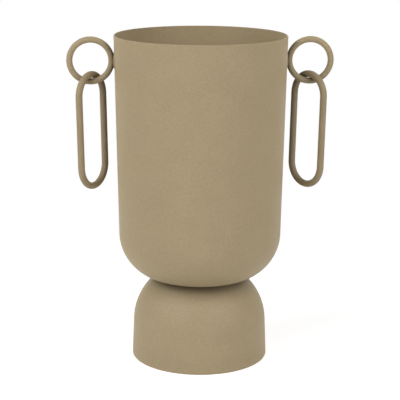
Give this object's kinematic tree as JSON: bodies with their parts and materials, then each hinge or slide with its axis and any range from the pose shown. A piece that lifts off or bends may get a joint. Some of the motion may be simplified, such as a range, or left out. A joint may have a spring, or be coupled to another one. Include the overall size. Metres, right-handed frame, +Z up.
{
  "type": "urn vase",
  "caption": "Tall round-bottomed sheet-steel cup on a domed foot, with a bar ring welded at each side of the rim and a loose oval link hanging in each ring.",
  "frame": {"origin": "middle of the circle that the foot stands on, at floor level", "axes": "+Z up along the vase's axis, the front looks along -Y, the rings stand out along -X (left) and +X (right)"},
  "size_m": [0.2732, 0.1774, 0.34],
  "materials": {
    "powder_coat": "matt, finely grained powder coat"
  },
  "bodies": {
    "vase": {"cup": "powder_coat", "foot": "powder_coat", "base_weld": "powder_coat", "left_ring": "powder_coat", "left_ring_weld": "powder_coat", "right_ring": "powder_coat", "right_ring_weld": "powder_coat"},
    "left_link": {"left_link": "powder_coat"},
    "right_link": {"right_link": "powder_coat"}
  },
  "joints": [
    {"name": "left_link_swing", "type": "hinge", "parent": "vase", "child": "left_link", "pos_m": [-0.11219, 0, 0.2929], "axis": [1, 0, 0], "range_deg": [-120, 120]},
    {"name": "right_link_swing", "type": "hinge", "parent": "vase", "child": "right_link", "pos_m": [0.11219, 0, 0.2929], "axis": [1, 0, 0], "range_deg": [-120, 120]}
  ]
}
